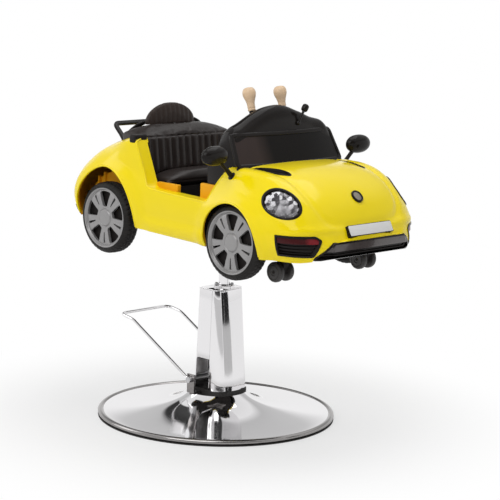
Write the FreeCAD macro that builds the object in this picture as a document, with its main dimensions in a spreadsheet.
import FreeCAD, Part

# Kids car barber chair: a small open car body with a seat, on a hydraulic pump column and a round base.
# Millimetres. +Z is up, +X is the car's front, and the origin is the base's centre on the floor.

import math
import os
import re
import types

import Sketcher

V = FreeCAD.Vector
UP = V(0, 0, 1)
FORWARD = V(1, 0, 0)
ACROSS = V(0, 1, 0)
SIDES = (-1, 1)

SIZES = {
    # clearances that several pieces share
    "seat_gap": 0.3,
    "running_gap": 0.05,
    "overrun": 60,
    # round base
    "base_radius": 350,
    "base_sheet": 3,
    "bead_radius": 6,
    "flare_radius": 88,
    "flare_top_z": 76,
    "flare_hole_radius": 60,
    "ring_thick": 3,
    "ring_width": 12,
    "ballast_inset": 32,
    "ballast_thick": 10,
    # pump
    "ram_x": 20,
    "ram_radius": 16.5,
    "ram_low_z": 155,
    "ram_chamfer": 3,
    "bore_low_z": 60,
    "pump_radius": 28,
    "pump_flange_radius": 72,
    "pump_flange_thick": 12,
    "pump_bolt_circle": 54,
    "pump_bolt_radius": 5,
    "pump_bolt_head": 9,
    "pump_bolt_head_thick": 7,
    "pump_bolt_depth": 7,
    "barrel_x": 10,
    "barrel_y": 40,
    "barrel_radius": 9,
    "barrel_top_z": 106,
    "web_width": 8,
    "plunger_radius": 4,
    "plunger_low_z": 80,
    "plunger_head_z": 124,
    "plunger_head_radius": 7,
    "plunger_head_thick": 4,
    # column covers
    "collar_thick": 12,
    "cover_sheet": 1.5,
    "cover_back_low_x": 31,
    "cover_back_top_x": 28,
    "cover_front_low_x": 80,
    "cover_front_top_x": 52,
    "cover_low_y": 62,
    "cover_top_y": 55,
    "cover_low_corner": 30,
    "cover_top_corner": 18,
    "cover_top_z": 385,
    "cover_seam_x": 30,
    "side_window_z": 180,
    "head_plate": 3,
    "head_radius": 31,
    "head_thick": 9,
    "head_screw_circle": 23,
    "head_screw_radius": 5,
    "head_screw_thick": 5,
    # foot lever
    "pivot_x": -16,
    "pivot_z": 117,
    "shaft_radius": 6,
    "hub_radius": 9,
    "hub_width": 11,
    "ear_y": 86,
    "ear_thick": 6,
    "ear_width": 30,
    "ear_top": 15,
    "yoke_thick": 6,
    "lever_radius": 4.5,
    "lever_bend_x": -269,
    "lever_bend_z": 254.5,
    "lever_end_x": -327,
    "lever_end_z": 263,
    "lever_corner": 24,
    "finger_thick": 6,
    "finger_width": 14,
    "finger_reach": 34,
    "finger_slot_length": 18,
    "finger_slot_width": 9,
    # car mounting
    "mount_length": 240,
    "mount_width": 180,
    "mount_thick": 8,
    "mount_corner": 12,
    "mount_boss_radius": 30,
    "mount_boss_depth": 27,
    "mount_bolt_x": 95,
    "mount_bolt_y": 65,
    "mount_bolt_radius": 4,
    "mount_bolt_head": 7.5,
    "mount_bolt_head_thick": 6,
    # floor pan
    "pan_z": 565,
    "pan_wall": 4,
    "pan_rear_x": -385,
    "pan_front_x": 500,
    "pan_half_width": 185,
    "pan_side_z": 640,
    "well_rear_x": -112,
    "well_front_x": 180,
    "well_half_width": 215,
    # car body
    "nose_x": 575,
    "tail_length": 430,
    "body_half_width": 262,
    "body_low_z": 555,
    "body_height": 295,
    "body_wall": 5,
    "body_split_rear_x": -115,
    "body_split_front_x": 185,
    "cockpit_rear_x": -252,
    "cockpit_front_x": 255,
    "cockpit_half_width": 196,
    "step_y": 200,
    "step_wall": 4,
    "step_rear_end_x": 29,
    "step_rear_z": 706,
    "step_front_end_x": 121,
    "step_front_z": 723,
    "pillar_rear_x": -115,
    "pillar_top_x": -113,
    "pillar_top_z": 829,
    "door_rear_x": -54,
    "door_rear_z": 690,
    "door_mid_x": 60,
    "door_mid_z": 685,
    "door_front_x": 196,
    "door_front_z": 681,
    "hood_corner_x": 241,
    "hood_corner_z": 782,
    # wheels
    "front_wheel_x": 295,
    "rear_wheel_x": -233,
    "wheel_z": 583,
    "wheel_face_y": 252,
    "tyre_radius": 104,
    "tyre_width": 52,
    "tyre_shoulder": 13,
    "rim_radius": 88,
    "rim_wall": 8,
    "rim_disc_thick": 7,
    "rim_recess": 6,
    "rim_hub_radius": 26,
    "rim_hub_depth": 34,
    "arch_gap": 7,
    "rear_arch_half_width": 128,
    "rear_arch_height": 153,
    "axle_radius": 6,
    "window_inner": 31,
    "window_outer": 75,
    "window_inner_half": 9,
    "window_outer_half": 26,
    "slot_inner": 40,
    "slot_outer": 74,
    "slot_half": 2.5,
    "wheel_gap": 3,
    # casters
    "caster_x": 418,
    "caster_y": 168,
    "caster_wheel_radius": 28,
    "caster_wheel_width": 18,
    "caster_wheel_gap": 11,
    "caster_trail": 10,
    "caster_stem_radius": 6,
    "caster_axle_radius": 4,
    "caster_low_z": 485,
    "caster_cap_radius": 24,
    "caster_cap_thick": 8,
    "caster_boss_radius": 12,
    "caster_boss_height": 12,
    # seat
    "seat_half_width": 188,
    "seat_base_rear_x": -196,
    "seat_base_front_x": -36,
    "seat_base_half_width": 178,
    "seat_base_top_z": 690,
    "seat_base_wall": 5,
    "cushion_front_x": -20,
    "cushion_rear_x": -124,
    "cushion_thick": 44,
    "back_rear_x": -246,
    "back_low_front_x": -125,
    "back_top_front_x": -150,
    "back_top_z": 825,
    "back_crown": 37,
    "rib_count": 14,
    "rib_depth": 5,
    "headrest_thick": 28,
    "headrest_half_width": 103,
    "headrest_low_z": 850,
    "headrest_height": 66,
    # dash, windscreen and steering
    "dash_rear_x": 140,
    "dash_front_x": 252,
    "dash_low_z": 700,
    "dash_top_z": 785,
    "dash_wall": 5,
    "cowl_x": 212,
    "cowl_half_depth": 40,
    "cowl_half_width": 190,
    "cowl_height": 155,
    "screen_low_x": 300,
    "screen_low_side_x": 277,
    "screen_low_y": 213,
    "screen_low_z": 779,
    "screen_top_x": 252,
    "screen_top_side_x": 230,
    "screen_top_y": 201,
    "screen_top_z": 872,
    "screen_thick": 10,
    "screen_border": 11,
    "pane_thick": 4,
    "column_radius": 9,
    "column_lean": 25,
    "yoke_x": 150,
    "yoke_z": 885,
    "yoke_hub_radius": 20,
    "yoke_hub_thick": 14,
    "yoke_arm_radius": 8,
    "grip_y": 62,
    "grip_low_x": 176,
    "grip_low_z": 918,
    "grip_top_x": 157,
    "grip_top_z": 986,
    "grip_radius": 19,
    "stub_x": 244,
    "stub_y": 54,
    "stub_z": 889,
    "stub_top_y": 81,
    "stub_top_z": 931,
    "stub_radius": 4.5,
    "stub_knob": 10,
    "stub_base": 6,
    # lamps, grilles and trim
    "trim_proud": 2,
    "trim_depth": 14,
    "lamp_x": 460,
    "lamp_y": 226,
    "lamp_z": 706,
    "lamp_radius": 44,
    "lamp_rim": 7,
    "lamp_depth": 34,
    "lens_thick": 3,
    "outlet_rear_x": 478,
    "outlet_top_y": 188,
    "outlet_inner_y": 173,
    "outlet_inner_z": 619,
    "outlet_low_y": 193,
    "outlet_low_z": 572,
    "outlet_high_z": 630,
    "strip_height": 13,
    "grille_low_z": 563,
    "grille_high_z": 612,
    "grille_top_y": 144,
    "grille_low_y": 190,
    "plate_width": 150,
    "plate_height": 30,
    "plate_thick": 4,
    "plate_z": 634,
    "emblem_x": 517,
    "emblem_z": 714,
    "emblem_radius": 17,
    "emblem_height": 12,
    "vent_rear_x": 294,
    "vent_front_x": 416,
    "vent_rear_y": 173,
    "vent_front_y": 148,
    "vent_half": 10,
    "mirror_x": 265,
    "mirror_reach": 26,
    "mirror_z": 819,
    "mirror_half_width": 48,
    "mirror_half_height": 27,
    "mirror_half_depth": 22,
    "mirror_arm_radius": 8,
    "mirror_foot_inset": 48,
    "mirror_foot_z": 752,
    "wing_rear_x": -322,
    "wing_top_z": 848,
    "wing_half_width": 155,
    "wing_bar": 16,
    "wing_thick": 9,
    "wing_leg": 110,
    "wing_corner": 22,
}

# Angles are in degrees.
PLATE_LEAN = 28
EMBLEM_LEAN = 48
WING_LEAN = 42
WINDOW_TURN = 90
SLOT_TURN = 54
FIRST_BOLT = 45

# The rim's windows and slots take out more than the rest of this share.
RIM_FULL_SHARE = 0.97
LAMP_DIRECTION = V(0.62, 0.60, 0.50)

# The base's outline from the rim to the flare, as shares of the radius and of the height between them.
FLARE_SHARES = ((1, 0), (0.81, 0.04), (0.43, 0.2), (0.2, 0.43), (0.09, 0.65), (0.03, 0.86), (0, 1))

# One row for each station of the body. Length as a share of the nose or the tail, then low z, low y,
# side z, side y, shoulder z, shoulder y and top z, as shares of the body's height and half width.
HULL_SHARES = (
    (-1.0, 0.15, 0.46, 0.29, 0.57, 0.42, 0.42, 0.49),
    (-0.93, 0.11, 0.71, 0.32, 0.81, 0.53, 0.61, 0.64),
    (-0.83, 0.07, 0.87, 0.36, 0.95, 0.64, 0.725, 0.78),
    (-0.68, 0.04, 0.915, 0.39, 0.99, 0.755, 0.765, 0.88),
    (-0.48, 0.04, 0.915, 0.42, 1.0, 0.85, 0.78, 0.96),
    (-0.27, 0.05, 0.90, 0.46, 0.955, 0.905, 0.78, 1.0),
    (0.10, 0.03, 0.885, 0.46, 0.94, 0.83, 0.78, 0.93),
    (0.35, 0.01, 0.90, 0.42, 0.96, 0.775, 0.775, 0.80),
    (0.51, 0.0, 0.925, 0.39, 1.0, 0.762, 0.79, 0.787),
    (0.73, 0.0, 0.915, 0.37, 1.0, 0.71, 0.765, 0.753),
    (0.85, 0.0, 0.86, 0.29, 0.955, 0.59, 0.69, 0.64),
    (0.94, 0.015, 0.745, 0.19, 0.81, 0.40, 0.63, 0.46),
    (1.0, 0.05, 0.535, 0.12, 0.58, 0.19, 0.46, 0.24),
)

# The seat cushion and the seat back's top roll, side to side: place, then size, as shares.
CUSHION_SHARES = ((-1, 0.72), (-0.86, 0.93), (-0.4, 1), (0.4, 1), (0.86, 0.93), (1, 0.72))
ROLL_SHARES = ((-1, 0.06), (-0.8, 0.25), (-0.56, 0.66), (-0.36, 1), (0.36, 1), (0.56, 0.66), (0.8, 0.25), (1, 0.06))
HEADREST_SHARES = ((-0.5, 0.88), (-0.28, 1), (0.28, 1), (0.5, 0.9))
CUSHION_SIDE_SHARE = 0.72
CUSHION_NOSE_SHARE = 0.25
ROLL_BULGE_SHARE = 0.8

# How far the windscreen runs down into the body, as a share of its height.
SCREEN_FOOT_SHARE = 0.4

doc = FreeCAD.newDocument("kids_car_chair")
sheet = doc.addObject("Spreadsheet::Sheet", "Sizes")
for row, (name, number) in enumerate(SIZES.items(), 1):
    sheet.set(f"A{row}", name)
    sheet.set(f"B{row}", str(number))
    sheet.setAlias(f"B{row}", name)
doc.recompute()
g = types.SimpleNamespace(**{name: float(sheet.get(name)) for name in SIZES})
pieces = []


def formula(text):
    """An expression with each size name looked up in the sheet."""
    return re.sub(r"[a-z][a-z_]*", lambda word: "Sizes." + word[0] if word[0] in SIZES else word[0], text)


def bind(item, bindings):
    for path, text in bindings.items():
        item.setExpression(path, formula(text))


def place(item, x, y, z):
    bind(item, {"Placement.Base.x": x, "Placement.Base.y": y, "Placement.Base.z": z})
    return item


def keep(item, label):
    """Marks an object as one of the sub-parts and gives it its name."""
    item.Label = label
    pieces.append(item)
    return item


def cylinder(radius, height, x="0", y="0", z="0", along=UP):
    item = doc.addObject("Part::Cylinder", "Cylinder")
    item.Placement = FreeCAD.Placement(V(), FreeCAD.Rotation(UP, along))
    bind(item, {"Radius": radius, "Height": height})
    return place(item, x, y, z)


def hexagon(radius, height, x, y, z):
    item = doc.addObject("Part::Prism", "Hexagon")
    item.Polygon = 6
    bind(item, {"Circumradius": radius, "Height": height})
    return place(item, x, y, z)


def block(low, high):
    """A box between two corners, each given as three expressions."""
    item = doc.addObject("Part::Box", "Block")
    for path, start, end in zip(("Length", "Width", "Height"), low, high):
        item.setExpression(path, formula(f"({end}) - ({start})"))
    return place(item, *low)


def joined(*items):
    result = doc.addObject("Part::MultiFuse", "Joined")
    result.Shapes = list(items)
    return result


def cut(base, *tools):
    result = doc.addObject("Part::Cut", "Cut")
    result.Base = base
    result.Tool = tools[0] if len(tools) == 1 else joined(*tools)
    return result


def group(*items):
    result = doc.addObject("Part::Compound", "Group")
    result.Links = list(items)
    return result


def solid(shape, label):
    """A sub-part whose shape is worked out from the sheet's values."""
    item = doc.addObject("Part::Feature", label)
    item.Shape = shape
    item.Placement = FreeCAD.Placement()
    return keep(item, label)


def polygon(sketch, points):
    """Closes a line chain through points, and ties each of them to its two expressions."""
    count = len(points)
    start = [V(math.cos(math.tau * i / count), math.sin(math.tau * i / count), 0) for i in range(count)]
    for i in range(count):
        sketch.addGeometry(Part.LineSegment(start[i], start[(i + 1) % count]))
    for i in range(count):
        sketch.addConstraint(Sketcher.Constraint("Coincident", i, 2, (i + 1) % count, 1))
    for i, (x, y) in enumerate(points):
        for kind, text, value in (("DistanceX", x, start[i].x), ("DistanceY", y, start[i].y)):
            index = sketch.addConstraint(Sketcher.Constraint(kind, -1, 1, i, 1, value))
            sketch.setExpression(f"Constraints[{index}]", formula(text))


def outline(owner, role, points, offset="0"):
    """A sketch of a closed outline on one of the body's own planes, moved along its normal."""
    sketch = owner.newObject("Sketcher::SketchObject", "Outline")
    plane = next(item for item in owner.Origin.OriginFeatures if item.Role == role)
    sketch.AttachmentSupport = [(plane, "")]
    sketch.MapMode = "FlatFace"
    sketch.setExpression("AttachmentOffset.Base.z", formula(offset))
    polygon(sketch, points)
    return sketch


def turned(name, points):
    """A body turned about its own Z from an outline of radius and height expressions."""
    owner = doc.addObject("PartDesign::Body", name)
    sketch = outline(owner, "XZ_Plane", points)
    turn = owner.newObject("PartDesign::Revolution", "Turned")
    turn.Profile = sketch
    turn.ReferenceAxis = (sketch, ["V_Axis"])
    turn.Angle = 360
    return owner


def padded(name, role, points, height, offset="0"):
    owner = doc.addObject("PartDesign::Body", name)
    pad = owner.newObject("PartDesign::Pad", "Pad")
    pad.Profile = outline(owner, role, points, offset)
    pad.setExpression("Length", formula(height))
    return owner


def rounded(owner, radius, choose):
    """Rounds the edges of the body's last feature that the choice picks."""
    doc.recompute()
    base = owner.Tip
    names = [f"Edge{i}" for i, edge in enumerate(base.Shape.Edges, 1) if choose(edge)]
    fillet = owner.newObject("PartDesign::Fillet", "Rounded")
    fillet.Base = (base, names)
    fillet.setExpression("Radius", formula(radius))
    return owner


def is_upright(edge):
    box = edge.BoundBox
    return box.ZLength > g.mount_thick / 2 and max(box.XLength, box.YLength) < g.seat_gap


def closed(points):
    return Part.makePolygon([*points, points[0]])


def prism(points, direction):
    return Part.Face(closed(points)).extrude(direction)


def box_between(low, high):
    return Part.makeBox(*(b - a for a, b in zip(low, high)), V(*low))


def mirrored(shape):
    return shape.mirror(V(), ACROSS)


def pair(shape):
    return Part.makeCompound([shape, mirrored(shape)])


# Round base.
def make_base():
    bead_x = g.base_radius - g.bead_radius
    rim_z = g.ring_thick + 2 * g.bead_radius
    reach = bead_x - g.flare_radius
    rise = g.flare_top_z - rim_z
    top = [V(g.flare_radius + a * reach, 0, rim_z + b * rise) for a, b in FLARE_SHARES]
    under = [point - V(0, 0, g.base_sheet) for point in top]
    curves = []
    for chain in (top, under[::-1]):
        spline = Part.BSplineCurve()
        spline.interpolate(chain)
        curves.append(spline.toShape())
    hole = V(g.flare_hole_radius, 0, g.flare_top_z)
    lip = [top[-1], hole, hole - V(0, 0, g.base_sheet), under[-1]]
    lines = [Part.LineSegment(a, b).toShape() for a, b in zip(lip, lip[1:])]
    rim = Part.LineSegment(under[0], top[0]).toShape()
    profile = Part.Face(Part.Wire([curves[0], *lines, curves[1], rim]))
    dish = profile.revolve(V(), UP, 360)
    bead = Part.makeTorus(bead_x, g.bead_radius, V(0, 0, g.ring_thick + g.bead_radius))
    solid(dish.fuse(bead).removeSplitter(), "base_plate")
    ring_high = "ring_thick"
    ring = (
        ("base_radius - bead_radius - ring_width / 2", "0"),
        ("base_radius - bead_radius + ring_width / 2", "0"),
        ("base_radius - bead_radius + ring_width / 2", ring_high),
        ("base_radius - bead_radius - ring_width / 2", ring_high),
    )
    keep(turned("Ring", ring), "base_ring")


def bolt_places():
    for i in range(4):
        angle = FIRST_BOLT + 90 * i
        yield f"ram_x + pump_bolt_circle * cos({angle} deg)", f"pump_bolt_circle * sin({angle} deg)"


def make_pump():
    hole = "pump_bolt_radius + seat_gap"
    places = list(bolt_places())
    ballast = cylinder("base_radius - ballast_inset", "ballast_thick")
    sockets = [
        cylinder(hole, "pump_bolt_depth + overrun", x, y, "ballast_thick - pump_bolt_depth") for x, y in places
    ]
    keep(cut(ballast, *sockets), "ballast_plate")

    bore = "ram_radius + running_gap"
    flange_top = "ballast_thick + pump_flange_thick"
    profile = (
        ("0", "ballast_thick"),
        ("pump_flange_radius", "ballast_thick"),
        ("pump_flange_radius", flange_top),
        ("pump_radius", flange_top),
        ("pump_radius", "cover_top_z + seat_gap"),
        (bore, "cover_top_z + seat_gap"),
        (bore, "bore_low_z"),
        ("0", "bore_low_z"),
    )
    body = place(turned("Pump", profile), "ram_x", "0", "0")
    barrel = cylinder("barrel_radius", "barrel_top_z - ballast_thick", "barrel_x", "barrel_y", "ballast_thick")
    web = block(
        ("barrel_x - web_width / 2", "pump_radius / 2 + ram_radius / 2", "ballast_thick"),
        ("barrel_x + web_width / 2", "barrel_y", "barrel_top_z"),
    )
    holes = [cylinder(hole, "overrun", x, y, "ballast_thick - overrun / 2") for x, y in places]
    slide = cylinder(
        "plunger_radius + running_gap", "barrel_top_z", "barrel_x", "barrel_y", "plunger_low_z - plunger_head_radius"
    )
    keep(cut(joined(body, barrel, web), slide, *holes), "pump_housing")

    bolts = []
    for x, y in places:
        shank_low = "ballast_thick - pump_bolt_depth + seat_gap"
        shank = cylinder("pump_bolt_radius", f"{flange_top} - ({shank_low})", x, y, shank_low)
        bolts.append(joined(shank, hexagon("pump_bolt_head", "pump_bolt_head_thick", x, y, flange_top)))
    keep(group(*bolts), "pump_bolts")

    rod = cylinder(
        "plunger_radius", "plunger_head_z - plunger_low_z", "barrel_x", "barrel_y", "plunger_low_z"
    )
    head = cylinder("plunger_head_radius", "plunger_head_thick", "barrel_x", "barrel_y", "plunger_head_z")
    keep(joined(rod, head), "pump_plunger")

    ram_top = "pan_z - mount_thick - seat_gap"
    ram = (
        ("0", "ram_low_z"),
        ("ram_radius", "ram_low_z"),
        ("ram_radius", f"{ram_top} - ram_chamfer"),
        ("ram_radius - ram_chamfer", ram_top),
        ("0", ram_top),
    )
    keep(place(turned("Ram", ram), "ram_x", "0", "0"), "ram")


# Column covers. Their plan narrows from the collar to the head.
def plan_sizes(z):
    low_z = g.flare_top_z + g.collar_thick
    share = (z - low_z) / (g.cover_top_z - low_z)
    back = -(g.cover_back_low_x + share * (g.cover_back_top_x - g.cover_back_low_x))
    front = g.cover_front_low_x + share * (g.cover_front_top_x - g.cover_front_low_x)
    side = g.cover_low_y + share * (g.cover_top_y - g.cover_low_y)
    corner = g.cover_low_corner + share * (g.cover_top_corner - g.cover_low_corner)
    return back, front, side, corner


def nose_edges(z, start_x, inset):
    """The plan's edges from one side, round the front, to the other side."""
    front, side, corner = plan_sizes(z)[1:]
    front -= inset
    side -= inset
    corner -= inset
    mid = corner * (1 - math.sqrt(0.5))
    edges = [Part.LineSegment(V(start_x, -side, z), V(front - corner, -side, z)).toShape()]
    bow = (V(front - corner, -side, z), V(front - mid, mid - side, z), V(front, corner - side, z))
    edges.append(Part.Arc(*bow).toShape())
    edges.append(Part.LineSegment(V(front, corner - side, z), V(front, side - corner, z)).toShape())
    bow = (V(front, side - corner, z), V(front - mid, side - mid, z), V(front - corner, side, z))
    edges.append(Part.Arc(*bow).toShape())
    edges.append(Part.LineSegment(V(front - corner, side, z), V(start_x, side, z)).toShape())
    return edges


def plan_wire(z):
    back, _, side, _ = plan_sizes(z)
    edges = nose_edges(z, back, 0)
    return Part.Wire([*edges, Part.LineSegment(V(back, side, z), V(back, -side, z)).toShape()])


def shell_wire(z, start_x):
    outer = nose_edges(z, start_x, 0)
    inner = nose_edges(z, start_x, g.cover_sheet)
    side = plan_sizes(z)[2]
    ends = [
        Part.LineSegment(V(start_x, s * side, z), V(start_x, s * (side - g.cover_sheet), z)).toShape()
        for s in (1, -1)
    ]
    return Part.Wire([*outer, ends[0], *inner[::-1], ends[1]])


def back_wire(z, end_x):
    back, _, side, _ = plan_sizes(z)
    wall = g.cover_sheet
    points = [
        V(end_x, -side, z),
        V(back, -side, z),
        V(back, side, z),
        V(end_x, side, z),
        V(end_x, side - wall, z),
        V(back + wall, side - wall, z),
        V(back + wall, wall - side, z),
        V(end_x, wall - side, z),
    ]
    return closed(points)


def make_covers():
    low_z = g.flare_top_z + g.collar_thick
    split_x = g.cover_seam_x - g.seat_gap
    heights = (low_z, g.cover_top_z)
    solid(Part.makeLoft([shell_wire(z, split_x + g.seat_gap) for z in heights], True, True), "front_cover")
    back = Part.makeLoft([back_wire(z, split_x) for z in heights], True, True)
    window_x = g.cover_sheet - g.cover_back_top_x
    window = box_between(
        (window_x, -g.cover_low_y - g.overrun, low_z - g.overrun),
        (split_x + g.overrun, g.cover_low_y + g.overrun, g.side_window_z),
    )
    solid(back.cut(window), "rear_cover")

    plate = Part.Face(plan_wire(low_z)).extrude(V(0, 0, -g.collar_thick))
    bore = Part.makeCylinder(g.pump_radius + g.seat_gap, g.overrun, V(g.ram_x, 0, g.flare_top_z - g.overrun / 2))
    barrel_hole = g.barrel_radius + g.seat_gap
    barrel = Part.makeCylinder(barrel_hole, g.overrun, V(g.barrel_x, g.barrel_y, g.flare_top_z - g.overrun / 2))
    web_half = g.web_width / 2 + g.seat_gap
    web = box_between(
        (g.barrel_x - web_half, 0, g.flare_top_z - g.overrun / 2),
        (g.barrel_x + web_half, g.barrel_y, g.flare_top_z + g.overrun / 2),
    )
    gap = g.seat_gap
    notch = box_between(
        (g.pivot_x - g.ear_width / 2 - gap, -g.cover_low_y - g.overrun, g.flare_top_z - g.overrun),
        (g.pivot_x + g.ear_width / 2 + gap, g.cover_low_y + g.overrun, g.flare_top_z + g.yoke_thick),
    )
    solid(plate.cut([bore, barrel, web, notch]), "cover_collar")

    head_z = g.cover_top_z + g.seat_gap
    plate = Part.Face(plan_wire(g.cover_top_z)).extrude(V(0, 0, g.head_plate))
    plate.translate(V(0, 0, g.seat_gap))
    disc = Part.makeCylinder(g.head_radius, g.head_thick + g.head_plate, V(g.ram_x, 0, head_z))
    bore = Part.makeCylinder(g.ram_radius + g.running_gap, g.overrun, V(g.ram_x, 0, head_z - g.overrun / 2))
    solid(plate.fuse(disc).cut(bore).removeSplitter(), "cylinder_head")

    reach = f"head_screw_circle * {math.sqrt(0.5)}"
    top = "cover_top_z + seat_gap + head_plate + head_thick"
    screws = [
        cylinder("head_screw_radius", "head_screw_thick", f"ram_x + {s} * {reach}", f"{s} * {reach}", top)
        for s in SIDES
    ]
    keep(group(*screws), "head_screws")


# Foot lever, its cross shaft and the yoke that carries it.
def make_lever():
    low_x = "pivot_x - ear_width / 2"
    high_x = "pivot_x + ear_width / 2"
    outer = "ear_y + ear_thick"
    top = "pivot_z + ear_top"
    bar = block((low_x, f"-({outer})", "flare_top_z"), (high_x, outer, "flare_top_z + yoke_thick"))
    ears = []
    for side in SIDES:
        low_y = f"{side} * (ear_y + ear_thick / 2) - ear_thick / 2"
        ears.append(block((low_x, low_y, "flare_top_z"), (high_x, f"{low_y} + ear_thick", top)))
    pump = cylinder("pump_radius + seat_gap", "overrun", "ram_x", "0", "flare_top_z - overrun / 2")
    bore = cylinder(
        "shaft_radius + running_gap", f"2 * ({outer} + overrun)", "pivot_x", f"-({outer} + overrun)", "pivot_z", ACROSS
    )
    keep(cut(joined(bar, *ears), pump, bore), "lever_yoke")

    end = f"({outer} + seat_gap + hub_width)"
    shaft = cylinder("shaft_radius", f"2 * {end}", "pivot_x", f"-{end}", "pivot_z", ACROSS)
    hubs = []
    for start in (f"{outer} + seat_gap", f"-{end}"):
        hubs.append(cylinder("hub_radius", "hub_width", "pivot_x", start, "pivot_z", ACROSS))
    low_y = "barrel_y - finger_width / 2"
    finger = block(
        ("pivot_x", low_y, "pivot_z - finger_thick / 2"),
        ("pivot_x + finger_reach", f"{low_y} + finger_width", "pivot_z + finger_thick / 2"),
    )
    slot = block(
        ("barrel_x - finger_slot_length / 2", "barrel_y - finger_slot_width / 2", "pivot_z - overrun"),
        ("barrel_x + finger_slot_length / 2", "barrel_y + finger_slot_width / 2", "pivot_z + overrun"),
    )
    keep(cut(joined(shaft, finger, *hubs), slot), "lever_shaft")

    arm_y = g.ear_y + g.ear_thick + g.seat_gap + g.hub_width / 2
    pivot = V(g.pivot_x, -arm_y, g.pivot_z)
    bend = V(g.lever_bend_x, -arm_y, g.lever_bend_z)
    corner = V(g.lever_end_x, -arm_y, g.lever_end_z)
    start = pivot + (bend - pivot).normalize() * (g.hub_radius + g.seat_gap)
    near = [start, bend, corner]
    route = near + [V(point.x, -point.y, point.z) for point in near[::-1]]
    path = Part.Wire(bent_edges(route, g.lever_corner))
    ring = Part.Wire(Part.makeCircle(g.lever_radius, start, bend - start))
    solid(path.makePipeShell([ring], True, False), "foot_lever")


def bent_edges(points, radius):
    """Straight runs joined by arcs of one radius."""
    edges = []
    last = points[0]
    for before, here, after in zip(points, points[1:], points[2:]):
        into = (here - before).normalize()
        out = (after - here).normalize()
        half = into.getAngle(out) / 2
        reach = radius * math.tan(half)
        start = here - into * reach
        end = here + out * reach
        inward = (out - into).normalize()
        middle = here + inward * (radius / math.cos(half) - radius)
        edges.append(Part.LineSegment(last, start).toShape())
        edges.append(Part.Arc(start, middle, end).toShape())
        last = end
    edges.append(Part.LineSegment(last, points[-1]).toShape())
    return edges


# The body's outer form, grown or shrunk by an offset. A drop carries its underside straight down.
def hull(offset, drop=0):
    wires = []
    for along, low, low_y, side, side_y, shoulder, shoulder_y, top in HULL_SHARES:
        x = along * (g.nose_x if along > 0 else g.tail_length)
        x += offset * along
        height = g.body_height
        width = g.body_half_width
        a = V(x, low_y * width + offset, g.body_low_z + low * height - (0 if drop else offset))
        b = V(x, side_y * width + offset, g.body_low_z + side * height)
        slant = offset * math.sqrt(0.5)
        c = V(x, shoulder_y * width + slant, g.body_low_z + shoulder * height + slant)
        d = V(x, 0, g.body_low_z + top * height + offset)
        other = [V(p.x, -p.y, p.z) for p in (a, b, c)]
        edges = [
            Part.Arc(a, b, c).toShape(),
            Part.Arc(c, d, other[2]).toShape(),
            Part.Arc(other[2], other[1], other[0]).toShape(),
        ]
        floor = [other[0], a]
        if drop:
            floor = [other[0], other[0] - V(0, 0, drop), a - V(0, 0, drop), a]
        edges += [Part.LineSegment(p, q).toShape() for p, q in zip(floor, floor[1:])]
        wires.append(Part.Wire(edges))
    return Part.makeLoft(wires, True, False)


def door_points(y, lower):
    """The door opening's edge from the pillar to the hood's corner, lowered by a distance."""
    corners = (
        (g.pillar_rear_x, g.pillar_top_z),
        (g.pillar_top_x, g.pillar_top_z),
        (g.door_rear_x, g.door_rear_z),
        (g.door_mid_x, g.door_mid_z),
        (g.door_front_x, g.door_front_z),
        (g.hood_corner_x, g.hood_corner_z),
    )
    return [V(x, y, z - lower) for x, z in corners]


def door_prism(lower, high):
    y = -g.body_half_width - g.overrun
    edge = door_points(y, lower)
    points = [*edge, V(edge[-1].x, y, high), V(edge[0].x, y, high)]
    return prism(points, V(0, -2 * y, 0))


def between_x(low, high):
    side = g.body_half_width + g.overrun
    return box_between((low, -side, 0), (high, side, g.body_low_z + g.body_height + g.overrun))


def outlet_region(gap):
    """A bar along the car behind one corner outlet. Its inner end comes to a point."""
    side = g.body_half_width + g.overrun
    x = g.outlet_rear_x - gap
    low_z = g.outlet_low_z - gap
    high_z = g.outlet_high_z + gap
    points = [
        V(x, side, low_z),
        V(x, g.outlet_low_y - gap, low_z),
        V(x, g.outlet_inner_y - gap, g.outlet_inner_z),
        V(x, g.outlet_top_y - gap, high_z),
        V(x, side, high_z),
    ]
    return prism(points, V(g.nose_x + g.overrun - x, 0, 0))


def grille_region(gap):
    x = g.nose_x - g.overrun
    points = [
        V(x, -g.grille_low_y - gap, g.grille_low_z - gap - g.overrun),
        V(x, g.grille_low_y + gap, g.grille_low_z - gap - g.overrun),
        V(x, g.grille_low_y + gap, g.outlet_low_z),
        V(x, g.grille_top_y + gap, g.grille_high_z + gap),
        V(x, -g.grille_top_y - gap, g.grille_high_z + gap),
        V(x, -g.grille_low_y - gap, g.outlet_low_z),
    ]
    return prism(points, V(2 * g.overrun, 0, 0))


def lamp_bar(radius):
    centre = V(g.lamp_x, g.lamp_y, g.lamp_z)
    return Part.makeCylinder(radius, 2 * g.overrun, centre - LAMP_DIRECTION * g.overrun, LAMP_DIRECTION)


def arch_bar(x, half_width, height):
    """A bar across the car over one pair of wheels, with a round or oval section."""
    centre = V(x, -g.body_half_width - g.overrun, g.wheel_z)
    if height > half_width:
        curve = Part.Ellipse(centre + UP * height, centre + FORWARD * half_width, centre)
    else:
        curve = Part.Circle(centre, ACROSS, half_width)
    return Part.Face(Part.Wire(curve.toShape())).extrude(ACROSS * (2 * (g.body_half_width + g.overrun)))


def vent_bar(gap):
    half = g.vent_half + gap
    mid_x = (g.vent_rear_x + g.vent_front_x) / 2
    mid_y = (g.vent_rear_y + g.vent_front_y) / 2
    z = g.body_low_z + g.body_height / 2
    points = [
        V(g.vent_rear_x - gap, g.vent_rear_y, z),
        V(mid_x, mid_y + half, z),
        V(g.vent_front_x + gap, g.vent_front_y, z),
        V(mid_x, mid_y - half, z),
    ]
    return prism(points, V(0, 0, g.body_height))


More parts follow.
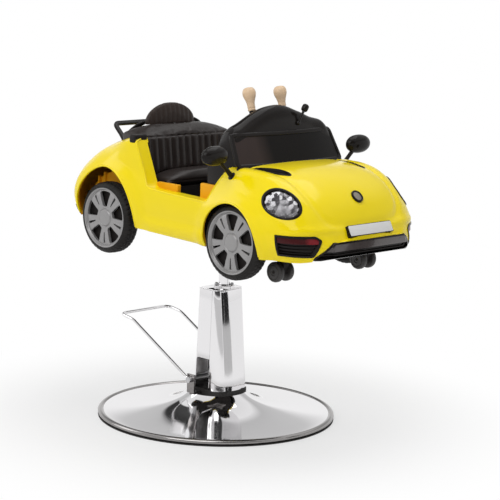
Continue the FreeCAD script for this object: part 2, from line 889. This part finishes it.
def make_body():
    gap = g.seat_gap
    high = g.body_low_z + g.body_height + g.overrun
    skin = hull(0)
    band = door_prism(g.body_wall, high)
    sides = box_between(
        (g.pillar_rear_x, -g.body_half_width - g.overrun, 0), (g.hood_corner_x, g.body_half_width + g.overrun, high)
    )
    middle = box_between((g.pillar_rear_x, -g.step_y, 0), (g.hood_corner_x, g.step_y, high))
    ledge = band.common(sides).cut(middle)
    hollow = hull(-g.body_wall, g.overrun).cut(ledge)
    cockpit = box_between(
        (g.cockpit_rear_x, -g.cockpit_half_width, g.pan_side_z),
        (g.cockpit_front_x, g.cockpit_half_width, high),
    )
    side = g.body_half_width + g.overrun
    arches = [
        arch_bar(g.front_wheel_x, g.tyre_radius + g.arch_gap, g.tyre_radius + g.arch_gap),
        arch_bar(g.rear_wheel_x, g.rear_arch_half_width, g.rear_arch_height),
    ]
    lamp = lamp_bar(g.lamp_radius + gap)
    outlet = outlet_region(gap)
    vent = vent_bar(gap)
    sockets = [lamp, mirrored(lamp), outlet, mirrored(outlet), vent, mirrored(vent), grille_region(gap)]
    shell = skin.cut([hollow, cockpit, door_prism(0, high), *arches, *sockets])
    low_z = g.door_front_z - g.body_wall
    rear_step = box_between(
        (g.door_rear_x, g.step_y, low_z), (g.step_rear_end_x, g.step_y + g.step_wall, g.step_rear_z)
    )
    front_step = box_between(
        (g.step_front_end_x, g.step_y, low_z), (g.door_front_x, g.step_y + g.step_wall, g.step_front_z)
    )
    steps = [rear_step, front_step, mirrored(rear_step), mirrored(front_step)]
    shell = shell.fuse(steps)

    solid(only_solid(shell.common(between_x(g.body_split_front_x, g.nose_x + g.overrun))), "front_body")
    rear_end = g.body_split_rear_x - gap
    solid(only_solid(shell.common(between_x(-g.tail_length - g.overrun, rear_end))), "rear_body")
    sills = shell.common(between_x(g.body_split_rear_x, g.body_split_front_x - gap))
    for label, low, high_y in (("sill_right", -side, 0), ("sill_left", 0, side)):
        half = box_between((-side - g.tail_length, low, 0), (g.nose_x, high_y, high))
        solid(only_solid(sills.common(half)), label)

    proud = hull(g.trim_proud)
    deep = hull(-g.trim_depth, g.overrun)
    layer = proud.cut(deep)
    outlets = layer.common(outlet_region(0))
    strip_z = g.outlet_high_z - g.strip_height
    strip = box_between((0, 0, strip_z), (g.nose_x + g.overrun, side, g.outlet_high_z))
    inner = outlets.common(hull(-g.body_wall, g.overrun))
    dark = outlets.cut(strip).fuse(inner)
    solid(pair(only_solid(dark.removeSplitter())), "corner_outlets")
    solid(pair(only_solid(outlets.common(strip).cut(inner))), "outlet_strips")
    under = box_between((0, -side, 0), (g.nose_x, side, g.grille_low_z))
    corner = outlet_region(gap)
    grille = layer.common(grille_region(0)).cut([under, corner, mirrored(corner)])
    solid(only_solid(grille), "lower_grille")
    vents = hull(g.trim_proud / 2).cut(hull(-g.body_wall, g.overrun)).common(vent_bar(0))
    solid(pair(only_solid(vents)), "hood_vents")

    rim = lamp_bar(g.lamp_radius).cut(lamp_bar(g.lamp_radius - g.lamp_rim))
    solid(pair(only_solid(hull(2 * g.trim_proud).cut(deep).common(rim))), "headlight_bezels")
    inner_radius = g.lamp_radius - g.lamp_rim - gap
    bowl = deep.cut(hull(-g.lamp_depth, g.overrun)).common(lamp_bar(inner_radius))
    solid(pair(only_solid(bowl)), "headlight_reflectors")
    lens = hull(g.trim_proud).cut(hull(g.trim_proud - g.lens_thick, g.overrun)).common(lamp_bar(inner_radius))
    solid(pair(only_solid(lens)), "headlight_lenses")

    clear = hull(gap)
    lean = math.radians(PLATE_LEAN)
    plate = box_between(
        (-g.overrun / 4, -g.plate_width / 2, -g.plate_height / 2),
        (g.plate_thick, g.plate_width / 2, g.plate_height / 2),
    )
    plate.rotate(V(), ACROSS, -PLATE_LEAN)
    plate.translate(V(g.nose_x - g.plate_thick * math.cos(lean), 0, g.plate_z))
    solid(only_solid(plate.cut(clear)), "number_plate")
    direction = V(math.cos(math.radians(EMBLEM_LEAN)), 0, math.sin(math.radians(EMBLEM_LEAN)))
    back = V(g.emblem_x, 0, g.emblem_z) - direction * g.emblem_height / 2
    boss = Part.makeCylinder(g.emblem_radius, g.emblem_height, back, direction)
    solid(only_solid(boss.cut(clear)), "emblem_boss")


def only_solid(shape):
    """The largest solid of a boolean's result."""
    return max(shape.Solids, key=lambda item: item.Volume)


# Floor pan, mounting plate and axles.
def make_pan():
    inner = "pan_wall"
    floor = "pan_z + pan_wall"
    well_top = "door_front_z - body_wall - seat_gap"
    long_outer = block(("pan_rear_x", "-pan_half_width", "pan_z"), ("pan_front_x", "pan_half_width", "pan_side_z"))
    well_outer = block(
        ("well_rear_x", "-well_half_width", "pan_z"), ("well_front_x", "well_half_width", well_top)
    )
    long_inner = block(
        (f"pan_rear_x + {inner}", f"-(pan_half_width - {inner})", floor),
        (f"pan_front_x - {inner}", f"pan_half_width - {inner}", "pan_side_z + overrun"),
    )
    well_inner = block(
        (f"well_rear_x + {inner}", f"-(well_half_width - {inner})", floor),
        (f"well_front_x - {inner}", f"well_half_width - {inner}", f"{well_top} + overrun"),
    )
    tub = cut(joined(long_outer, well_outer), joined(long_inner, well_inner))
    bosses = [
        cylinder("caster_boss_radius", "caster_boss_height", "caster_x", f"{s} * caster_y", "pan_z") for s in SIDES
    ]
    holes = [
        cylinder("mount_bolt_radius + seat_gap", "overrun", x, y, "pan_z - overrun / 2") for x, y in mount_places()
    ]
    for s in SIDES:
        stem = "caster_stem_radius + running_gap"
        holes.append(cylinder(stem, "2 * overrun", "caster_x", f"{s} * caster_y", "pan_z - overrun"))
    for x in ("front_wheel_x", "rear_wheel_x"):
        width = "pan_half_width + overrun"
        holes.append(cylinder("axle_radius", f"2 * ({width})", x, f"-({width})", "wheel_z", ACROSS))
    keep(cut(joined(tub, *bosses), *holes), "floor_pan")

    end = "wheel_face_y - rim_recess - rim_disc_thick - seat_gap"
    axles = [cylinder("axle_radius", f"2 * ({end})", x, f"-({end})", "wheel_z", ACROSS) for x in wheel_places()]
    keep(group(*axles), "axles")


def wheel_places():
    return ("front_wheel_x", "rear_wheel_x")


def mount_places():
    return [(f"ram_x + {a} * mount_bolt_x", f"{b} * mount_bolt_y") for a in SIDES for b in SIDES]


def make_mount():
    low_x = "-mount_length / 2"
    corners = (
        (low_x, "-mount_width / 2"),
        ("mount_length / 2", "-mount_width / 2"),
        ("mount_length / 2", "mount_width / 2"),
        (low_x, "mount_width / 2"),
    )
    plate = padded("MountPlate", "XY_Plane", corners, "mount_thick", "pan_z - mount_thick")
    rounded(plate, "mount_corner", is_upright)
    place(plate, "ram_x", "0", "0")
    top = "pan_z - mount_thick"
    boss = cylinder("mount_boss_radius", "mount_boss_depth", "ram_x", "0", f"{top} - mount_boss_depth")
    bore = cylinder("ram_radius + running_gap", "overrun", "ram_x", "0", f"{top} - overrun")
    holes = [
        cylinder("mount_bolt_radius + seat_gap", "overrun", x, y, "pan_z - overrun / 2") for x, y in mount_places()
    ]
    keep(cut(joined(plate, boss), bore, *holes), "mount_plate")

    bolts = []
    nuts = []
    for x, y in mount_places():
        head_z = f"{top} - mount_bolt_head_thick"
        nut_z = "pan_z + pan_wall"
        head = hexagon("mount_bolt_head", "mount_bolt_head_thick", x, y, head_z)
        shank_top = f"{nut_z} + mount_bolt_head_thick + seat_gap"
        shank = cylinder("mount_bolt_radius", f"{shank_top} - ({top})", x, y, top)
        bolts.append(joined(head, shank))
        nut = hexagon("mount_bolt_head", "mount_bolt_head_thick", x, y, nut_z)
        hole = cylinder("mount_bolt_radius + running_gap", "overrun", x, y, f"{nut_z} - overrun / 2")
        nuts.append(cut(nut, hole))
    keep(group(*bolts), "mount_bolts")
    keep(group(*nuts), "mount_nuts")


# Road wheels. Each is drawn about its own Z, with the outer face up, and then laid on its side.
def sector(inner, outer, inner_half, outer_half):
    return ((inner, f"-{inner_half}"), (outer, f"-{outer_half}"), (outer, outer_half), (inner, inner_half))


def spoke_pockets(owner, points, turn):
    """Five pockets round the rim, the first of them turned by an angle."""
    sketch = outline(owner, "XY_Plane", points, "tyre_width / 2 + overrun")
    sketch.AttachmentOffset = FreeCAD.Placement(V(), FreeCAD.Rotation(UP, turn))
    sketch.setExpression("AttachmentOffset.Base.z", formula("tyre_width / 2 + overrun"))
    pocket = owner.newObject("PartDesign::Pocket", "Pocket")
    pocket.Profile = sketch
    pocket.setExpression("Length", formula("tyre_width + 2 * overrun"))
    doc.recompute()
    ring = owner.newObject("PartDesign::PolarPattern", "Around")
    ring.Originals = [pocket]
    ring.Axis = (sketch, ["N_Axis"])
    ring.Angle = 360
    ring.Occurrences = 5
    owner.Tip = ring
    doc.recompute()


def make_wheel(label, x, side):
    half = "tyre_width / 2"
    face = f"{half} - rim_recess"
    disc_low = f"{face} - rim_disc_thick"
    hub_low = f"{face} - rim_hub_depth"
    bore = "axle_radius + running_gap"
    barrel = "rim_radius - rim_wall"
    profile = (
        ("0", disc_low),
        (bore, disc_low),
        (bore, hub_low),
        ("rim_hub_radius", hub_low),
        ("rim_hub_radius", disc_low),
        (barrel, disc_low),
        (barrel, f"-{half}"),
        ("rim_radius", f"-{half}"),
        ("rim_radius", half),
        (f"{barrel} + rim_wall / 3", half),
        (barrel, face),
        ("rim_hub_radius", face),
        ("rim_hub_radius", f"{face} + rim_recess / 2"),
        ("0", f"{face} + rim_recess / 2"),
    )
    rim = turned("Rim", profile)
    doc.recompute()
    full = rim.Shape.Volume
    spoke_pockets(rim, sector("window_inner", "window_outer", "window_inner_half", "window_outer_half"), WINDOW_TURN)
    spoke_pockets(rim, sector("slot_inner", "slot_outer", "slot_half", "slot_half"), SLOT_TURN)
    if rim.Shape.Volume > full * RIM_FULL_SHARE:
        raise RuntimeError("the rim's windows were not cut")
    tyre_points = (
        ("rim_radius", f"-{half}"),
        ("tyre_radius", f"-{half}"),
        ("tyre_radius", half),
        ("rim_radius", half),
    )
    tyre = turned("Tyre", tyre_points)
    outer = g.tyre_radius - g.seat_gap
    rounded(tyre, "tyre_shoulder", lambda edge: edge.BoundBox.XMax > outer and edge.BoundBox.ZLength < g.seat_gap)
    direction = V(0, side, 0)
    for item, name in ((rim, "rim"), (tyre, "tyre")):
        item.Placement = FreeCAD.Placement(V(), FreeCAD.Rotation(UP, direction))
        place(item, x, f"{side} * (wheel_face_y - {half})", "wheel_z")
        keep(item, f"{name}_{label}")


def make_wheels():
    for end, x in zip(("front", "rear"), wheel_places()):
        for side, name in zip(SIDES, ("right", "left")):
            make_wheel(f"{end}_{name}", x, side)


# Twin-wheel casters under the front.
def make_casters():
    axle_x = "(caster_x - caster_trail)"
    axle_z = "(caster_low_z + caster_wheel_radius)"
    cap_z = "pan_z - seat_gap - caster_cap_thick"
    half = "(caster_wheel_gap - seat_gap)"
    for side, name in zip(SIDES, ("right", "left")):
        y = f"({side} * caster_y)"
        cap = cylinder("caster_cap_radius", "caster_cap_thick", "caster_x", y, cap_z)
        stem = cylinder("caster_stem_radius", f"caster_boss_height - ({cap_z}) + pan_z", "caster_x", y, cap_z)
        neck = block((axle_x + " - caster_cap_radius / 2", f"{y} - {half}", axle_z),
                     ("caster_x + caster_cap_radius / 2", f"{y} + {half}", "pan_z - seat_gap - caster_cap_thick / 2"))
        hub = cylinder("caster_cap_radius / 2", f"2 * {half}", axle_x, f"{y} - {half}", axle_z, ACROSS)
        reach = "(caster_wheel_gap + caster_wheel_width)"
        pin = cylinder("caster_axle_radius", f"2 * {reach}", axle_x, f"{y} - {reach}", axle_z, ACROSS)
        keep(joined(cap, stem, neck, hub, pin), f"caster_fork_{name}")
        discs = []
        for start in (f"{y} + caster_wheel_gap", f"{y} - {reach}"):
            disc = cylinder("caster_wheel_radius", "caster_wheel_width", axle_x, start, axle_z, ACROSS)
            hole = cylinder(
                "caster_axle_radius + running_gap", "2 * overrun", axle_x, f"{start} - overrun / 2", axle_z, ACROSS
            )
            discs.append(cut(disc, hole))
        keep(group(*discs), f"caster_wheels_{name}")


# Seat.
def seat_section(y, points):
    """A closed section of lines and arcs across the car at one y. A triple is an arc's middle and end."""
    edges = []
    last = points[0]
    for point in points[1:]:
        if isinstance(point, tuple):
            edges.append(Part.Arc(last, *point).toShape())
            last = point[1]
        else:
            edges.append(Part.LineSegment(last, point).toShape())
            last = point
    return Part.Wire(edges)


def cushion_wire(place_share, size_share):
    y = place_share * (g.seat_half_width - g.seat_gap)
    thick = g.cushion_thick * size_share
    low = g.seat_base_top_z + g.seat_gap
    draw = g.cushion_thick * (1 - size_share)
    rear = g.cushion_rear_x + draw / 2
    front = g.cushion_front_x - draw
    side_z = low + thick * CUSHION_SIDE_SHARE
    nose = thick * CUSHION_NOSE_SHARE
    points = [
        V(rear, y, low),
        V(front - nose, y, low),
        (V(front, y, low + side_z / 2 - low / 2), V(front - nose / 2, y, side_z)),
        (V((front + rear) / 2, y, low + thick), V(rear, y, side_z)),
        V(rear, y, low),
    ]
    return seat_section(y, points)


def rib_wire(z, front_x):
    half = g.seat_half_width - g.seat_gap
    count = int(g.rib_count)
    step = 2 * half / count
    edges = []
    for i in range(count):
        low = -half + i * step
        high = low + step
        middle = V(front_x + g.rib_depth, low + step / 2, z)
        edges.append(Part.Arc(V(front_x, low, z), middle, V(front_x, high, z)).toShape())
    rear = g.back_rear_x
    for a, b in (((front_x, half), (rear, half)), ((rear, half), (rear, -half)), ((rear, -half), (front_x, -half))):
        edges.append(Part.LineSegment(V(*a, z), V(*b, z)).toShape())
    return Part.Wire(edges)


def roll_wire(place_share, size_share):
    y = place_share * (g.seat_half_width - g.seat_gap)
    low = g.back_top_z
    front = g.back_top_front_x + g.rib_depth / 2
    rear = g.back_rear_x
    crown = g.back_crown * size_share
    flat = rear + g.headrest_thick
    rise = V((front + flat) / 2, y, low + crown * ROLL_BULGE_SHARE)
    points = [V(rear, y, low), V(front, y, low), (rise, V(flat, y, low + crown)), V(rear, y, low + crown)]
    points.append(V(rear, y, low))
    return seat_section(y, points)


def headrest_wire(place_share, size_share):
    x = g.back_rear_x + g.headrest_thick / 2 + place_share * g.headrest_thick
    low = g.headrest_low_z
    wide = g.headrest_half_width * size_share
    tall = g.headrest_height * size_share
    end = V(x, wide, low)
    peak = V(x, 0, low + tall)
    start = V(x, -wide, low)
    turn = math.sqrt(0.5)
    side = V(x, wide * turn, low + tall * turn)
    other = V(x, -wide * turn, low + tall * turn)
    edges = [
        Part.LineSegment(start, end).toShape(),
        Part.Arc(end, side, peak).toShape(),
        Part.Arc(peak, other, start).toShape(),
    ]
    return Part.Wire(edges)


def make_seat():
    wall = "seat_base_wall"
    low = "pan_z + pan_wall"
    outer = block(
        ("seat_base_rear_x", "-seat_base_half_width", low),
        ("seat_base_front_x", "seat_base_half_width", "seat_base_top_z"),
    )
    inner = block(
        (f"seat_base_rear_x + {wall}", f"-(seat_base_half_width - {wall})", f"{low} - overrun"),
        (f"seat_base_front_x - {wall}", f"seat_base_half_width - {wall}", f"seat_base_top_z - {wall}"),
    )
    keep(cut(outer, inner), "seat_base")
    solid(Part.makeLoft([cushion_wire(*row) for row in CUSHION_SHARES], True, False), "seat_cushion")
    low_z = g.seat_base_top_z + g.seat_gap
    back = Part.makeLoft(
        [rib_wire(low_z, g.back_low_front_x - g.rib_depth), rib_wire(g.back_top_z, g.back_top_front_x)], True, True
    )
    roll = Part.makeLoft([roll_wire(*row) for row in ROLL_SHARES], True, True)
    half = g.seat_half_width + g.overrun
    shelf = box_between(
        (g.back_rear_x - g.overrun, -half, g.headrest_low_z - g.seat_gap),
        (g.back_rear_x + g.headrest_thick + g.seat_gap, half, g.back_top_z + g.back_crown + g.overrun),
    )
    solid(back.fuse(roll).cut(shelf).removeSplitter(), "seat_back")
    solid(Part.makeLoft([headrest_wire(*row) for row in HEADREST_SHARES], True, False), "headrest")


# Dash, windscreen, steering and the stub lever.
def screen_wire(share, border, thick, proud):
    """The windscreen's plan at a share of its height: an arc across, with a thickness behind it."""
    mid_x = g.screen_low_x + share * (g.screen_top_x - g.screen_low_x) - proud
    side_x = g.screen_low_side_x + share * (g.screen_top_side_x - g.screen_low_side_x) - proud
    side_y = g.screen_low_y + share * (g.screen_top_y - g.screen_low_y) - border
    z = g.screen_low_z + share * (g.screen_top_z - g.screen_low_z)
    front = Part.Arc(V(side_x, -side_y, z), V(mid_x, 0, z), V(side_x, side_y, z)).toShape()
    rear = Part.Arc(V(side_x - thick, side_y, z), V(mid_x - thick, 0, z), V(side_x - thick, -side_y, z)).toShape()
    ends = [
        Part.LineSegment(V(side_x, s * side_y, z), V(side_x - thick, s * side_y, z)).toShape() for s in (1, -1)
    ]
    return Part.Wire([front, ends[0], rear, ends[1]])


def screen_slab(low_share, high_share, border, thick, proud):
    wires = [screen_wire(share, border, thick, proud) for share in (low_share, high_share)]
    return Part.makeLoft(wires, True, True)


def egg(centre, half_x, half_y, half_z, pole=UP):
    """An ellipsoid with three half axes."""
    unit = Part.makeSphere(1, V(), pole)
    scale = FreeCAD.Matrix()
    scale.scale(half_x, half_y, half_z)
    shape = unit.transformGeometry(scale)
    shape.translate(centre)
    return shape


def make_dash():
    gap = g.seat_gap
    centre = V(g.cowl_x, 0, g.dash_top_z)
    half = (g.cowl_half_depth, g.cowl_half_width, g.cowl_height)
    dome = egg(centre, *half).cut(egg(centre, *(size - g.dash_wall for size in half)))
    side = g.cockpit_half_width - gap
    dome = dome.common(
        box_between(
            (g.dash_rear_x - g.overrun, -side, g.dash_top_z),
            (g.cockpit_front_x + g.overrun, side, g.dash_top_z + g.cowl_height + g.overrun),
        )
    )
    outer = box_between((g.dash_rear_x, -side, g.dash_low_z), (g.dash_front_x, side, g.dash_top_z))
    wall = g.dash_wall
    inner = box_between(
        (g.dash_rear_x + wall, wall - side, g.dash_low_z + wall),
        (g.dash_front_x - wall, side - wall, g.dash_top_z - wall),
    )
    well = egg(centre, *(size - g.dash_wall for size in half))
    panel = outer.cut([inner, well])
    lean = math.radians(g.column_lean)
    axis = V(-math.cos(lean), 0, math.sin(lean))
    hub = V(g.yoke_x, 0, g.yoke_z)
    foot = hub - axis * (g.cowl_half_depth + g.column_radius)
    bore = Part.makeCylinder(g.column_radius + g.running_gap, 2 * g.overrun, foot, axis)
    stub = V(g.stub_x, g.stub_y, g.stub_z)
    socket = Part.makeSphere(g.stub_base + gap, stub)
    screen = screen_slab(-SCREEN_FOOT_SHARE, 1, 0, g.screen_thick + 2 * gap, -gap)
    solid(only_solid(panel.fuse(dome).cut([bore, socket, screen]).removeSplitter()), "dash_cowl")

    frame = screen_slab(-SCREEN_FOOT_SHARE, 1, 0, g.screen_thick, 0)
    share = g.screen_border / (g.screen_top_z - g.screen_low_z)
    hole = screen_slab(share, 1 - share, g.screen_border, g.overrun, -g.overrun / 2)
    frame = frame.cut([hole, hull(gap, g.overrun)])
    solid(only_solid(frame), "windscreen_frame")
    proud = (g.screen_thick - g.pane_thick) / 2
    inset = share + gap / (g.screen_top_z - g.screen_low_z)
    pane = screen_slab(inset, 1 - inset, g.screen_border + gap, g.pane_thick, proud)
    solid(pane, "windscreen_pane")

    column = Part.makeCylinder(g.column_radius, g.cowl_half_depth + g.column_radius, foot, axis)
    plate = Part.makeCylinder(g.yoke_hub_radius, g.yoke_hub_thick, hub, axis)
    arms = []
    grips = []
    for side in SIDES:
        low = V(g.grip_low_x, side * g.grip_y, g.grip_low_z)
        top = V(g.grip_top_x, side * g.grip_y, g.grip_top_z)
        middle = hub + axis * (g.yoke_hub_thick / 2)
        arms.append(rod(middle, low, g.yoke_arm_radius))
        arms.append(Part.makeSphere(g.yoke_arm_radius, low))
        grips.append(grip(low, top))
    yoke = column.fuse([plate, *arms])
    solid(yoke.cut(Part.makeCompound(grips)).removeSplitter(), "steering_yoke")
    solid(Part.makeCompound(grips), "steering_grips")

    knob_at = V(g.stub_x, g.stub_top_y, g.stub_top_z)
    stem = rod(stub, knob_at, g.stub_radius)
    stalk = Part.makeSphere(g.stub_base, stub).fuse([stem, Part.makeSphere(g.stub_knob, knob_at)])
    solid(stalk.removeSplitter(), "stub_lever")


def rod(start, end, radius):
    run = end - start
    return Part.makeCylinder(radius, run.Length, start, run)


def grip(low, top):
    """A pear-shaped grip: narrow at its foot and round at its head."""
    length = (top - low).Length - g.grip_radius
    direction = (top - low).normalize()
    foot = g.grip_radius / 2
    start = g.yoke_arm_radius / 2
    cone = Part.makeCone(foot, g.grip_radius - g.running_gap, length - start, low + direction * start, direction)
    return cone.fuse(Part.makeSphere(g.grip_radius, low + direction * length)).removeSplitter()


# Mirrors and the rear wing.
def make_trim():
    clear = hull(g.seat_gap)
    for side, name in zip(SIDES, ("right", "left")):
        centre = V(g.mirror_x, side * (g.body_half_width + g.mirror_reach), g.mirror_z)
        case = egg(centre, g.mirror_half_depth, g.mirror_half_width, g.mirror_half_height, FORWARD)
        face = g.mirror_x - g.mirror_half_depth / 2
        behind = box_between((face - g.overrun, centre.y - g.overrun, 0), (face, centre.y + g.overrun, 2 * g.mirror_z))
        foot = V(g.mirror_x, side * (g.body_half_width - g.mirror_foot_inset), g.mirror_foot_z)
        arm = only_solid(rod(foot, centre, g.mirror_arm_radius).cut([clear, behind]))
        shape = case.cut(behind).fuse(arm)
        solid(only_solid(shape.removeSplitter()), f"mirror_{name}")

    outer = wing_slab(g.wing_half_width, 0, g.wing_corner, 0, g.wing_thick)
    inner_corner = g.wing_corner - g.wing_bar
    inner = wing_slab(g.wing_half_width - g.wing_bar, g.wing_bar, inner_corner, -g.overrun, 2 * g.overrun)
    solid(only_solid(outer.cut([inner, clear])), "rear_wing")


def wing_slab(half, start, corner, low, thick):
    """A leaning slab with two round corners at the rear. Its legs run forward and down into the deck."""
    lean = math.radians(WING_LEAN)
    down = V(math.cos(lean), 0, -math.sin(lean))
    normal = V(math.sin(lean), 0, math.cos(lean))
    origin = V(g.wing_rear_x, 0, g.wing_top_z) + normal * low
    mid = corner * (1 - math.sqrt(0.5))

    def at(y, along):
        return origin + ACROSS * y + down * along

    edges = [
        Part.LineSegment(at(-half, g.wing_leg), at(-half, start + corner)).toShape(),
        Part.Arc(at(-half, start + corner), at(mid - half, start + mid), at(corner - half, start)).toShape(),
        Part.LineSegment(at(corner - half, start), at(half - corner, start)).toShape(),
        Part.Arc(at(half - corner, start), at(half - mid, start + mid), at(half, start + corner)).toShape(),
        Part.LineSegment(at(half, start + corner), at(half, g.wing_leg)).toShape(),
        Part.LineSegment(at(half, g.wing_leg), at(-half, g.wing_leg)).toShape(),
    ]
    return Part.Face(Part.Wire(edges)).extrude(normal * thick)


def write_parts():
    doc.recompute()
    for item in doc.Objects:
        if "Invalid" in item.State or "Error" in item.State:
            raise RuntimeError(f"{item.Name} ({item.Label}) failed: {item.State}")
    os.makedirs("parts", exist_ok=True)
    for item in pieces:
        shape = item.Shape
        if shape.isNull() or not shape.isValid() or not shape.Solids:
            raise RuntimeError(f"{item.Label} has no valid solid")
        shape.exportStep(f"parts/{item.Label}.step")
        print(item.Label, len(shape.Solids), round(shape.Volume))


make_base()
make_pump()
make_covers()
make_lever()
make_body()
make_pan()
make_mount()
make_wheels()
make_casters()
make_seat()
make_dash()
make_trim()
write_parts()
print(len(pieces), "nodes")
